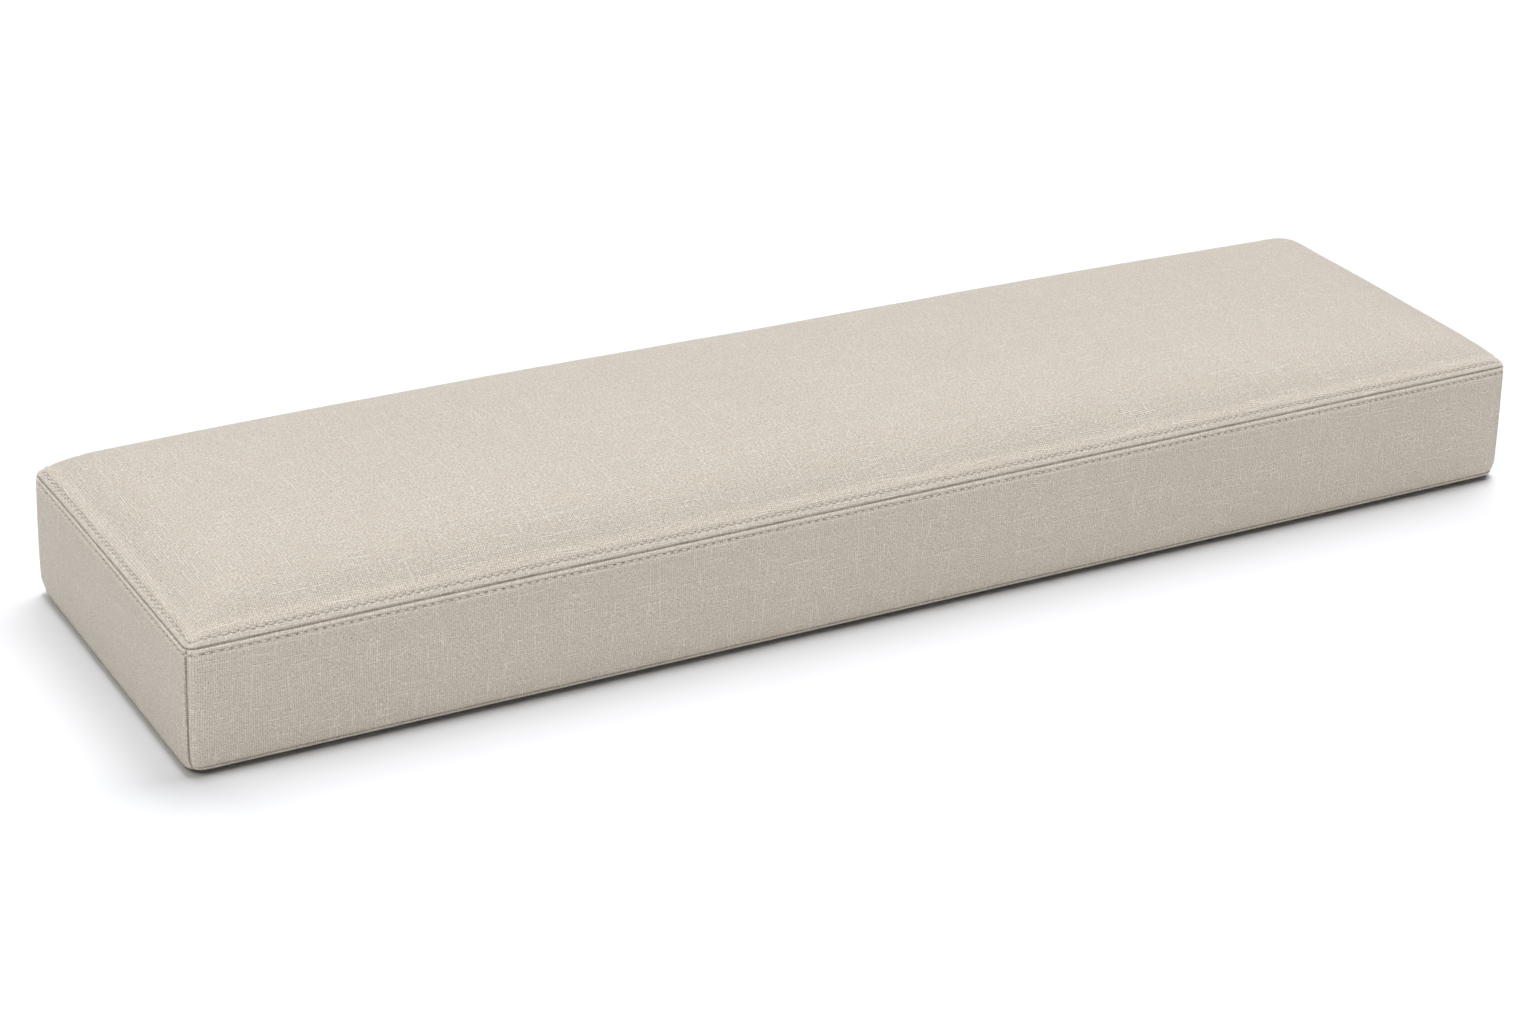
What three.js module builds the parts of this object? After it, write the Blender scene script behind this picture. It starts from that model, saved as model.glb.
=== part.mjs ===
import * as THREE from 'three';

// A window seat cushion: one long boxed cushion, filled and closed, resting on its flat underside.
// Lengths are in millimetres, +Z up. X runs along the length, -Y is the front, and the origin is
// the middle of the underside. Its cover is a top panel and an underside panel joined by a band
// of boxing, and the seams and the two rows of stitching are shallow troughs in the solid.

const length = 1219;
const depth = 306;
const seamHeight = 106.4; // from the seat up to the seam between the boxing and the top panel
const edgeRise = 25.6; // climb of the top panel over its rolled edge
const edgeWidth = 79; // how far in from the seam that climb reaches
const edgeFullness = 3.3; // the higher it is, the more of that climb lies close to the seam
const crownRise = 14; // further climb of the top panel to its middle
const cornerRadius = 9.6; // upright corners of the boxing
const cornerGrowth = 0.5; // growth of the top panel's corner radius for each millimetre inwards
const seamTilt = 2.8; // the seam climbs this much from the middle to the right end
const endLean = 9.9; // how far the right end leans in by the height of the seam
const endLeanReach = 190; // length at the right end over which the lean fades out
const cornerTuck = 9; // how far the lower edge is rolled in at the four corners
const cornerTuckReach = 20; // distance from a corner over which that fades
const cornerTuckHeight = 16; // height over which it fades

const longSteps = 30; // facets along each long side
const shortSteps = 8; // facets along each short side, an even number
const cornerSteps = 5; // facets round each upright corner

// Level sections of the underside's edge and the boxing, from the seat upwards.
const boxingSections = [
  { name: 'edge of the flat underside', inset: 15, height: 0 },
  { name: 'rise of the lower edge', inset: 6, height: 2.6 },
  { name: 'turn of the lower edge', inset: 2, height: 3.9 },
  { name: 'roll below the lower seam', inset: 0.8, height: 5.4 },
  { name: 'lower seam', inset: 2, height: 6.8 },
  { name: 'roll above the lower seam', inset: 1.2, height: 8.8 },
  { name: 'low on the boxing', inset: 0.4, height: 26 },
  { name: 'middle of the boxing', inset: 0, height: 53 },
  { name: 'high on the boxing', inset: 0.4, height: 80 },
  { name: 'below the boxing stitches', inset: 0.9, height: 98.8 },
  { name: 'boxing stitches', inset: 1.5, height: 101.4 },
  { name: 'roll below the top seam', inset: 0.9, height: 103.8 },
  { name: 'shoulder below the top seam', inset: 1.5, height: 105.2 },
  { name: 'top seam', inset: 3.0, height: 105.9 },
];

// Sections of the top panel, from its seam to its ridge. Dip is the depth of a trough.
const panelSections = [
  { name: 'shoulder above the top seam', inset: 2.2, dip: 0.6 },
  { name: 'roll above the top seam', inset: 3.2, dip: 0 },
  { name: 'panel stitches', inset: 4.8, dip: 0.5 },
  { name: 'past the panel stitches', inset: 6.6, dip: 0 },
  { name: 'rolled edge, low', inset: 14, dip: 0 },
  { name: 'rolled edge, middle', inset: 22, dip: 0 },
  { name: 'rolled edge, high', inset: 33, dip: 0 },
  { name: 'rolled edge, end', inset: 47, dip: 0 },
  { name: 'start of the crown', inset: 63, dip: 0 },
  { name: 'crown, low', inset: 83, dip: 0 },
  { name: 'crown, middle', inset: 106, dip: 0 },
  { name: 'crown, high', inset: 129, dip: 0 },
  { name: 'ridge', inset: 147, dip: 0 },
];

// The same number of points on every outline, anticlockwise from above, round a rectangle that
// is inset from the cushion's plan and has round corners.
function outline(inset, radius) {
  const reachX = length / 2 - inset - radius;
  const reachY = depth / 2 - inset - radius;
  const corners = [
    { x: reachX, y: -reachY, turn: -90, steps: shortSteps },
    { x: reachX, y: reachY, turn: 0, steps: longSteps },
    { x: -reachX, y: reachY, turn: 90, steps: shortSteps },
    { x: -reachX, y: -reachY, turn: 180, steps: longSteps },
  ];
  const onCorner = (corner, angle) =>
    new THREE.Vector2(
      corner.x + radius * Math.cos(THREE.MathUtils.degToRad(angle)),
      corner.y + radius * Math.sin(THREE.MathUtils.degToRad(angle)),
    );
  const points = [];
  corners.forEach((corner, index) => {
    for (let step = 0; step <= cornerSteps; step += 1) {
      points.push(onCorner(corner, corner.turn + (90 * step) / cornerSteps));
    }
    const sideStart = points.at(-1);
    const next = corners[(index + 1) % corners.length];
    const sideEnd = onCorner(next, next.turn);
    for (let step = 1; step < corner.steps; step += 1) {
      points.push(sideStart.clone().lerp(sideEnd, step / corner.steps));
    }
  });
  return points;
}

// Height of the top panel above its seam: the rolled edge, then a crown that fades to the sides.
function panelRise(point, inset) {
  const edge = 1 - (1 - Math.min(inset / edgeWidth, 1)) ** edgeFullness;
  const along = 1 - Math.abs((2 * point.x) / length) ** 4;
  const across = 1 - ((2 * point.y) / depth) ** 2;
  return edgeRise * edge + crownRise * along * across;
}

// The filled cushion isn't quite square: its seam climbs to the right, its right end leans in and
// its lower corners are rolled in.
function settled(point, height) {
  const upBoxing = Math.min(height / seamHeight, 1);
  const overSeam = Math.max(height - seamHeight, 0) / (edgeRise + crownRise);
  const lift = (seamTilt * upBoxing * (1 - overSeam) * point.x) / (length / 2);
  const nearEnd = Math.max(1 - (length / 2 - point.x) / endLeanReach, 0);
  const fromCorner = Math.hypot(length / 2 - Math.abs(point.x), depth / 2 - Math.abs(point.y));
  const low = Math.max(1 - height / cornerTuckHeight, 0) ** 2;
  const near = Math.max(1 - fromCorner / cornerTuckReach, 0) ** 2;
  const tuck = (cornerTuck * low * near) / Math.SQRT2;
  return new THREE.Vector3(
    point.x - Math.sign(point.x) * tuck - endLean * upBoxing * nearEnd,
    point.y - Math.sign(point.y) * tuck,
    height + lift,
  );
}

function boxingRing(section) {
  return outline(section.inset, cornerRadius).map((point) => settled(point, section.height));
}

function panelRing(section) {
  const grown = cornerRadius + cornerGrowth * section.inset;
  const radius = Math.min(grown, depth / 2 - section.inset);
  return outline(section.inset, radius).map((point) =>
    settled(point, seamHeight + panelRise(point, section.inset) - section.dip),
  );
}

// Closes an outline across its depth with a strip of flat facets, each from a point on the back
// to the point straight in front of it.
function closingStrip(count) {
  const rightmost = cornerSteps + shortSteps / 2; // the middle point of the right side
  const opposite = (spot) => (2 * rightmost - spot + count) % count;
  const faces = [];
  for (let spot = rightmost; spot < rightmost + count / 2; spot += 1) {
    const next = spot + 1;
    if (opposite(spot) !== spot) {
      faces.push([spot, next, opposite(spot)]);
    }
    if (opposite(next) !== next) {
      faces.push([next, opposite(next), opposite(spot)]);
    }
  }
  return faces;
}

// Joins each ring to the next with two triangles a facet, and closes the first and the last.
function loft(rings) {
  const count = rings[0].length;
  const index = [];
  for (let row = 0; row < rings.length - 1; row += 1) {
    for (let spot = 0; spot < count; spot += 1) {
      const low = row * count + spot;
      const lowNext = row * count + ((spot + 1) % count);
      index.push(low, lowNext, lowNext + count);
      index.push(low, lowNext + count, low + count);
    }
  }
  const last = (rings.length - 1) * count;
  for (const [a, b, c] of closingStrip(count)) {
    index.push(a, c, b);
    index.push(last + a, last + b, last + c);
  }
  const geometry = new THREE.BufferGeometry().setFromPoints(rings.flat());
  geometry.setIndex(index);
  return geometry;
}

function cushionGeometry() {
  const rings = [...boxingSections.map(boxingRing), ...panelSections.map(panelRing)];
  const geometry = loft(rings);
  geometry.computeBoundingBox();
  const middle = geometry.boundingBox.getCenter(new THREE.Vector3());
  geometry.translate(-middle.x, -middle.y, 0);
  geometry.computeVertexNormals();
  return geometry;
}

const linen = new THREE.MeshStandardMaterial({ color: '#cdc5b9', roughness: 0.92, metalness: 0 });
linen.name = 'linen';

const cushion = new THREE.Mesh(cushionGeometry(), linen);
cushion.name = 'cushion';

const windowSeat = new THREE.Group();
windowSeat.name = 'window_seat_cushion';
windowSeat.add(cushion);

export default windowSeat;
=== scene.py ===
import math

import bpy
import numpy as np
from mathutils import Matrix, Vector, kdtree, noise


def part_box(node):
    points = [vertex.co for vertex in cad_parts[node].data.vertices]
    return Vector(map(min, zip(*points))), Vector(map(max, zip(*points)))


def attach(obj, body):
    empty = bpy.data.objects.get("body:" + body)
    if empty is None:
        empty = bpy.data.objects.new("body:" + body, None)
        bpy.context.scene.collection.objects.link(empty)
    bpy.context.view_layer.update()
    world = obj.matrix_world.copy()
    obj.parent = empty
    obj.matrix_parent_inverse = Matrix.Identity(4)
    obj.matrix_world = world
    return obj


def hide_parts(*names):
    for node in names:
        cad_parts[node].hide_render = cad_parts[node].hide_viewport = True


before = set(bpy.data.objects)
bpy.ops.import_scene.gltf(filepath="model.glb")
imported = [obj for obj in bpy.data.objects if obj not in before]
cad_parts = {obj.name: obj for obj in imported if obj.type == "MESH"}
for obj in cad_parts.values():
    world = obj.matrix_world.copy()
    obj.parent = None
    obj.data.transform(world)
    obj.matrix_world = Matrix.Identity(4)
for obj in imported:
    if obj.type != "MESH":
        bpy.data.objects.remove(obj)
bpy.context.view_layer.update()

mm = 0.001
cushionLow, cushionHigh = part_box("cushion")


def direction(turn, up):
    # turn is clockwise from straight back and up is from level, both in degrees
    turn, up = math.radians(turn), math.radians(up)
    return Vector((math.sin(turn) * math.cos(up), math.cos(turn) * math.cos(up), math.sin(up)))


def placed(name, data):
    thing = bpy.data.objects.new(name, data)
    bpy.context.scene.collection.objects.link(thing)
    return thing


# The camera stands in front of the left end and looks down along the cushion.
cameraSet = {
    "lens": 78.242,
    "frameWidth": 36,
    "place": (-1.3464, -2.0512, 1.2469),  # metres from the middle of the underside
    "turn": 32.378,  # degrees, clockwise from straight back
    "down": 26.674,
    "roll": 4.11,
}


def makeCamera():
    ahead = direction(cameraSet["turn"], -cameraSet["down"])
    level = direction(cameraSet["turn"] + 90, 0)
    upright = level.cross(ahead)
    roll = math.radians(cameraSet["roll"])
    right = math.cos(roll) * level + math.sin(roll) * upright
    up = math.cos(roll) * upright - math.sin(roll) * level
    camera = placed("camera", bpy.data.cameras.new("camera"))
    camera.data.lens = cameraSet["lens"]
    camera.data.sensor_width = cameraSet["frameWidth"]
    camera.data.clip_start = 0.05
    camera.data.clip_end = 60
    camera.matrix_world = Matrix((right, up, -ahead)).transposed().to_4x4()
    camera.location = cameraSet["place"]
    bpy.context.scene.camera = camera


makeCamera()
print("camera stands")


# The filled cushion: a top panel, an underside and a band of boxing, without its sewing.
cushion = {
    "length": 1219 * mm,
    "depth": 306 * mm,
    "seamHeight": 106.4 * mm,  # from the seat to where the boxing meets the panel
    "edgeRise": 25.6 * mm,  # climb of the panel over its rolled edge
    "edgeWidth": 79 * mm,  # how far in that climb reaches
    "edgeFullness": 3.3,  # the higher, the more of that climb lies close to the seam
    "crownRise": 14 * mm,
    "cornerRadius": 9.6 * mm,
    "cornerGrowth": 0.5,  # growth of the panel's corner radius on the way in
    "seamTilt": 2.8 * mm,  # the seam climbs towards the right end
    "endLean": 9.9 * mm,  # the right end leans in towards its top
    "leftLean": 0.45 * mm,  # the left end leans out towards its top
    "leftCorner": 1.5 * mm,  # and its back corner stands out this much more
    "leftDrop": 0.6 * mm,  # the left end of the seam lies this much lower again
    "endLeanReach": 190 * mm,
    "cornerTuck": 7.0 * mm,  # how far the underside's corners are rolled in
    "cornerTuckReach": 9.0 * mm,
    "leftTuck": 3.0 * mm,  # and how far the lower edge of the left end is
    "tuckHeight": 16 * mm,
    "boxingBow": 0.9 * mm,  # how far the boxing bows out at half height
}
halfX, halfY = cushion["length"] / 2, cushion["depth"] / 2


def turnedInset(x, y):
    # distance in from the outline, along outlines whose corners grow rounder on the way in
    radius, grow = cushion["cornerRadius"], cushion["cornerGrowth"]
    fromEnd, fromSide = halfX - np.abs(x), halfY - np.abs(y)
    near, far = np.minimum(fromEnd, fromSide), np.maximum(fromEnd, fromSide)
    a, b = fromEnd - radius, fromSide - radius
    square = 2 * (1 + grow) ** 2 - grow**2
    half = (1 + grow) * (a + b) + radius * grow
    inside = np.maximum(half**2 - square * (a**2 + b**2 - radius**2), 0)
    rounded = (half + np.sqrt(inside)) / square
    return np.where(far < radius + (1 + grow) * near, rounded, near)


def panelRise(x, y, fullness=1.0):
    share = np.clip(turnedInset(x, y) / cushion["edgeWidth"], 0, 1)
    along, across = 1 - np.abs(x / halfX) ** 4, 1 - (y / halfY) ** 2
    edge = cushion["edgeRise"] * (1 - (1 - share) ** cushion["edgeFullness"])
    return edge + fullness * cushion["crownRise"] * along * across


def settled(points):
    # the filled cushion isn't quite square
    x, y, z = points.T
    up = np.clip(z / cushion["seamHeight"], 0, 1)
    over = np.clip((z - cushion["seamHeight"]) / (cushion["edgeRise"] + cushion["crownRise"]), 0, 1)
    lift = cushion["seamTilt"] * up * (1 - over) * x / halfX
    nearRight = np.clip(1 - (halfX - x) / cushion["endLeanReach"], 0, None)
    nearLeft = np.clip(1 - (halfX + x) / cushion["endLeanReach"], 0, None)
    atBack = np.clip(y / cushion["depth"] + 0.5, 0, 1) ** 5
    leftLean = cushion["leftLean"] + cushion["leftCorner"] * atBack
    lift = lift - cushion["leftDrop"] * up * (1 - over) * nearLeft

    fromCorner = np.hypot(halfX - np.abs(x), halfY - np.abs(y))
    low = np.clip(1 - z / cushion["tuckHeight"], 0, 1) ** 2
    tuck = cushion["cornerTuck"] * low * np.exp(-((fromCorner / cushion["cornerTuckReach"]) ** 2))
    x = x - np.sign(x) * tuck / math.sqrt(2) + cushion["leftTuck"] * low * nearLeft
    x -= (cushion["endLean"] * nearRight + leftLean * nearLeft) * up
    return np.stack([x, y - np.sign(y) * tuck / math.sqrt(2), z + lift], 1)


insetSteps = np.linspace(0, halfY, 400)
edgeSlope = cushion["edgeFullness"] * cushion["edgeRise"] / cushion["edgeWidth"]
edgeLeft = np.clip(1 - insetSteps / cushion["edgeWidth"], 0, 1)
slopeThere = edgeSlope * edgeLeft ** (cushion["edgeFullness"] - 1)
stepLength = np.hypot(1, slopeThere) * (insetSteps[1] - insetSteps[0])
clothSteps = np.concatenate([[0], np.cumsum((stepLength[1:] + stepLength[:-1]) / 2)])


def clothRun(inset):
    # length of cloth from the panel's edge to a place that far in
    return np.interp(inset, insetSteps, clothSteps)


def insetAt(run):
    return np.interp(run, clothSteps, insetSteps)


# What the machine leaves: a top seam with a row of stitching on each side, a lower seam, and a
# seam up each corner. Runs are lengths of cloth from the top seam, up the panel or down the boxing.
sewing = {
    "pitch": 7.0 * mm,
    "uneven": 0.12,  # share of the pitch by which a hole may be off its place
    "firstHole": 4.5 * mm,  # from a corner's round to the first hole of a straight side
    "panelRun": 5.4 * mm,
    "boxingRun": 5.0 * mm,
    "seamInset": 0.9 * mm,
    "creaseDepth": 1.1 * mm,  # top seam
    "creaseWidth": 0.175 * mm,
    "creaseBoxing": 0.7,  # share of that depth on the boxing's side
    "boxingShoulder": 1.9 * mm,  # depth of the cloth rolling in to the top seam
    "boxingRoll": 2.8 * mm,  # radius of that roll
    "panelShoulder": 1.0 * mm,
    "panelRoll": 1.9 * mm,
    "pullAngle": 21,  # degrees below level, the way the top seam is pulled in
    "boxingChannel": 0.27 * mm,  # depth under the boxing's row of stitching
    "panelChannel": 0.12 * mm,
    "channelInner": 0.8 * mm,  # width on the side of the seam
    "channelOuter": 1.3 * mm,  # width on the panel's far side
    "ridgeHeight": 0.2 * mm,  # of the cloth that stands up just below the boxing's row
    "ridgePlace": 2.0 * mm,  # from the row to that ridge
    "ridgeWidth": 0.9 * mm,
    "notchDepth": 0.15 * mm,  # narrow line pressed under the thread
    "notchWidth": 0.4 * mm,
    "holeDepth": 0.95 * mm,
    "holeWidth": 0.7 * mm,  # across the row
    "holeLength": 1.5 * mm,  # along the row
    "holeReach": 14 * mm,  # from the top seam, beyond which no hole shows
    "lowerSeam": 6.8 * mm,  # height of the lower seam
    "lowerDepth": 0.8 * mm,
    "lowerWidth": 0.26 * mm,
    "lowerAtEnds": 0.25,  # how much of its depth the lower seam keeps along the two ends
    "uprightDepth": 2.2 * mm,
    "uprightWidth": 0.6 * mm,
    "uprightFrom": 3.6 * mm,  # height at which it starts
    "uprightFade": 1.5 * mm,  # height over which it deepens
    "uprightEnd": 0.6 * mm,  # cloth over which it ends at the top seam
    "uprightLip": 0.5 * mm,  # height of the cloth that stands up beside it
    "lipPlace": 1.7 * mm,
    "lipWidth": 0.8 * mm,
    "uprightLean": (-1.0 * mm, 1.2 * mm, -1.4 * mm, -1.6 * mm),  # at the top, for each corner
    "leanFade": 3 * mm,
}

# Rolled lower edge, from the flat underside up to the boxing: inset and height in millimetres.
lowerEdge = [
    (15.0, 0), (12.0, 0.8), (9.0, 1.7), (6.0, 2.6), (3.6, 3.3), (2.0, 3.9), (1.1, 4.6),
    (0.8, 5.4), (1.0, 6.1), (1.2, 6.45), (1.3, 6.8), (1.3, 7.2), (1.3, 7.8), (1.2, 9.0),
    (1.1, 10.6),
]

halfArc = cushion["cornerRadius"] * math.pi / 4


def holesAlong(size, pitch):
    # distances of the needle holes along a straight side, evenly spaced from end to end
    first = sewing["firstHole"]
    count = round((size - 2 * first) / pitch)
    places = np.linspace(first, size - first, count + 1)
    for k in range(1, count):
        places[k] += sewing["uneven"] * pitch * noise.noise(Vector((k * 0.83, size, 2.7)))
    return places


def walkRound(pitch, besideHole, arcPlaces):
    # stations round the plan: where each one stands, which way is out, and what it is for
    names = ("side", "along", "out", "centre", "round", "run", "arc", "coarse", "boxingHole", "panelHole")
    walk = []
    roundTotal = 0

    def stand(*values):
        walk.append(dict(zip(names, values)))

    # the straight sides lie on the line through the corner centres, anticlockwise from the front
    reach = np.array((halfX, halfY)) - cushion["cornerRadius"]
    for side, ahead in enumerate([(1, 0), (0, 1), (-1, 0), (0, -1)]):
        along, out = np.array(ahead, float), np.array((ahead[1], -ahead[0]), float)
        start, size = (out - along) * reach, float(2 * np.abs(along) @ reach)
        places = holesAlong(size, pitch)
        middles = (places[1:] + places[:-1]) / 2
        holes, coarse = {*places}, {0.0, size, *places}
        extra = {*middles, *(places - besideHole), *(places + besideHole)}
        for run in sorted(coarse | extra if besideHole else coarse):
            here, around, hole = start + along * run, roundTotal + run, run in holes
            stand(side, along, out, here, around, run, None, run in coarse, hole, hole)
        roundTotal += size
        for arc, boxingHole, panelHole in arcPlaces:
            here, around = start + along * size, roundTotal + halfArc + arc
            stand(side, along, out, here, around, None, arc, True, boxingHole, panelHole)
        roundTotal += 2 * halfArc
    return walk, roundTotal


def arcSteps(steps):
    # places round a corner, measured from its upright seam, each with whether the boxing's row
    # and the panel's row have a needle hole there
    right = [(step * mm, step == spacing["cornerHole"], False) for step in steps]
    left = [(-step, hole, False) for step, hole, _ in reversed(right)]
    return left + [(0.0, False, True)] + right


def bowInset(height):
    # the boxing stands out furthest at half its height
    share = np.abs(2 * height / cushion["seamHeight"] - 1)
    return cushion["boxingBow"] * share**2.2


def rowsUp(boxingStep, boxingRuns, panelRuns, lower):
    # level rows from the underside's edge to the inner end of the stitched band
    top = cushion["seamHeight"]
    rows = []

    def addRow(part, inset, height, run, fine):
        rows.append({"part": part, "inset": inset, "height": height, "run": run, "fine": fine})

    for inset, height in lower:
        addRow("boxing", inset * mm, height * mm, -top, False)
    start, end = rows[-1]["height"], top - max(boxingRuns) * mm
    count = max(round((end - start) / boxingStep), 2)
    for height in np.linspace(start, end, count + 1)[1:-1]:
        addRow("boxing", bowInset(height), height, height - top, False)
    for run in sorted(boxingRuns, reverse=True):
        height = top - run * mm
        addRow("boxing", bowInset(height), height, -run * mm, True)
    seamRun = clothRun(sewing["seamInset"])
    for run in sorted(panelRuns):
        addRow("panel", insetAt(seamRun + run * mm), math.nan, run * mm, True)
    radius = cushion["cornerRadius"]
    addRow("panel", radius, math.nan, clothRun(radius) - seamRun, True)
    return rows


def leanAt(row, corner):
    # upright seams lean a little along the corner, most at the top
    lean = sewing["uprightLean"][corner]
    if row["part"] == "panel":
        return lean * math.exp(-row["run"] / sewing["leanFade"])
    return lean * row["height"] / cushion["seamHeight"]


def stationPoint(station, row):
    # plan position of a station on a row, and which way is out there
    out = station["out"]
    if station["arc"] is not None:
        arc = station["arc"]
        arc += leanAt(row, station["side"]) * (1 - abs(arc) / halfArc)
        angle = arc / cushion["cornerRadius"] + math.pi / 4
        out = math.cos(angle) * station["out"] + math.sin(angle) * station["along"]
    return station["centre"] + out * (cushion["cornerRadius"] - row["inset"]), out


def buildShell(walk, rows):
    # every vertex of the closed shell with what it belongs to, and every face
    shell = {name: [] for name in ("plan", "height", "out", "run", "station", "part")}
    faces, partOf = [], []

    def addVertex(*values):
        for name, value in zip(shell, values):
            shell[name].append(value)
        return len(shell["plan"]) - 1

    def addFace(corners, part):
        clean = [c for k, c in enumerate(corners) if c != corners[k - 1]]
        if len(clean) > 2:
            faces.append(clean)
            partOf.append(part)

    rings = []
    for number, row in enumerate(rows):
        last = number == len(rows) - 1
        ring = {}
        for index, station in enumerate(walk):
            if not (row["fine"] or station["coarse"]):
                continue
            if last and (station["arc"] is not None or station["run"] == 0):
                ring[index] = ring.get(index - 1)  # the arc has shrunk to the corner's centre
                continue
            plan, out = stationPoint(station, row)
            ring[index] = addVertex(plan, row["height"], out, row["run"], index, row["part"])
        if last:
            ring[0] = ring[len(walk) - 1]
        rings.append(ring)

    def strip(lower, upper, part):
        common = sorted(set(lower) & set(upper))
        for here, there in zip(common, common[1:] + common[:1]):
            if there > here:
                between = range(here + 1, there)
            else:
                between = [*range(here + 1, len(walk)), *range(0, there)]
            low = [lower[here], *[lower[k] for k in between if k in lower], lower[there]]
            high = [upper[there], *[upper[k] for k in reversed(between) if k in upper], upper[here]]
            addFace(low + high, (part, here))

    for number, (lower, upper) in enumerate(zip(rings, rings[1:])):
        strip(lower, upper, rows[number + 1]["part"])

    # the middle of the panel is a grid between the stations of facing sides
    straight = [k for k, s in enumerate(walk) if s["arc"] is None]
    bySide = [[k for k in straight if walk[k]["side"] == side] for side in range(4)]
    coarseBySide = [[k for k in line if walk[k]["coarse"]] for line in bySide]
    top = rings[-1]
    columns, lines = len(coarseBySide[0]), len(coarseBySide[1])
    node = np.full((columns, lines), -1)
    edges = [[top[k] for k in line] for line in coarseBySide]
    node[:, 0], node[:, -1] = edges[0], edges[2][::-1]
    node[-1], node[0] = edges[1], edges[3][::-1]
    xs = [walk[k]["centre"][0] for k in coarseBySide[0]]
    ys = [walk[k]["centre"][1] for k in coarseBySide[1]]
    for i in range(1, columns - 1):
        for j in range(1, lines - 1):
            node[i, j] = addVertex((xs[i], ys[j]), math.nan, (0, 0), 1.0, -1, "panel")

    def chain(side, first):
        # fine stations of a side strictly between two of its coarse ones
        low, high = coarseBySide[side][first:first + 2]
        return [top[k] for k in bySide[side] if low < k < high]

    for i in range(columns - 1):
        for j in range(lines - 1):
            corners = [(i, j), (i + 1, j), (i + 1, j + 1), (i, j + 1)]
            atEdge = [j == 0, i == columns - 2, j == lines - 2, i == 0]
            first = [i, j, columns - 2 - i, lines - 2 - j]
            loop = []
            for side in range(4):
                loop.append(int(node[corners[side]]))
                if atEdge[side]:
                    loop += chain(side, first[side])
            addFace(loop, ("panel", -1))

    # the flat underside: strips from front to back, and one face at each end
    low = rings[0]
    front, back = coarseBySide[0], coarseBySide[2][::-1]
    for k in range(len(front) - 1):
        addFace([low[front[k]], low[back[k]], low[back[k + 1]], low[front[k + 1]]], ("under", -1))
    rightEnd = [low[k] for k in sorted(low) if front[-1] <= k <= back[-1]]
    leftEnd = [low[k] for k in sorted(low) if k >= back[0]] + [low[front[0]]]
    addFace(rightEnd[::-1], ("under", -1))
    addFace(leftEnd[::-1], ("under", -1))

    shell = {name: np.array(values) for name, values in shell.items()}
    shell.update({"faces": faces, "partOf": partOf, "rings": rings})
    return shell


def shellPoints(shell, fullness=1.0):
    x, y = shell["plan"].T
    onPanel = cushion["seamHeight"] + panelRise(x, y, fullness)
    height = np.where(np.isnan(shell["height"]), onPanel, shell["height"])
    return settled(np.stack([x, y, height], 1))


def meshObject(name, points, faces, edges=()):
    mesh = bpy.data.meshes.new(name)
    mesh.from_pydata([tuple(point) for point in points], edges, faces)
    mesh.update()
    return placed(name, mesh)


def vectorsOf(collection, key):
    values = np.zeros(len(collection) * 3, np.float32)
    collection.foreach_get(key, values)
    return values.reshape(-1, 3).astype(float)


# Spacing of the cover's mesh. Fine runs are millimetres of cloth from the top seam, and corner
# steps are millimetres round a corner from its upright seam.
spacing = {
    "besideHole": 1.4 * mm,
    "boxingStep": 5.0 * mm,
    "boxingRuns": [
        0.2, 0.45, 0.8, 1.25, 1.8, 2.5, 3.2, 3.9, 4.5, 5.0, 5.4, 5.9, 6.6, 7.5, 8.6, 10.0, 11.8,
    ],
    "panelRuns": [
        0, 0.2, 0.45, 0.8, 1.25, 1.8, 2.5, 3.3, 4.1, 4.8, 5.4, 5.8, 6.3, 7.0, 7.9, 9.0, 10.6,
    ],
    "cornerSteps": [0.4, 0.9, 1.6, 2.5, 3.5, 4.6, 6.0],
    "cornerHole": 3.5,  # the step at which the boxing's row has a needle hole
}

walk, roundTotal = walkRound(sewing["pitch"], spacing["besideHole"], arcSteps(spacing["cornerSteps"]))
rows = rowsUp(spacing["boxingStep"], spacing["boxingRuns"], spacing["panelRuns"], lowerEdge)
shell = buildShell(walk, rows)
target = shellPoints(shell)
print("cushion shell:", len(shell["faces"]), "faces")


# The filling: a coarse cage of the same cover, sewn fast at its seams, is blown up by the cloth
# solver, and the fine cover follows it.
filling = {
    "cell": 14 * mm,
    "row": 13 * mm,
    "panelRun": 5.5,  # millimetres from the top seam to the cage's next row
    "heldBelow": 12 * mm,
    "startFullness": 0.7,
    "ease": 1.004,  # the cover is cut this much larger than the filled shape
    "frames": 20,
    "mostMove": 9 * mm,
    "mostStray": 0.6 * mm,  # how far the filled cover may stray from the pattern
    "flatBelow": 10 * mm,
    "cloth": {
        "quality": 6,
        "mass": 0.3,
        "tension_stiffness": 15,
        "compression_stiffness": 15,
        "shear_stiffness": 8,
        "bending_stiffness": 1.5,
        "use_pressure": True,
        "uniform_pressure_force": 4.0,
    },
}


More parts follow.
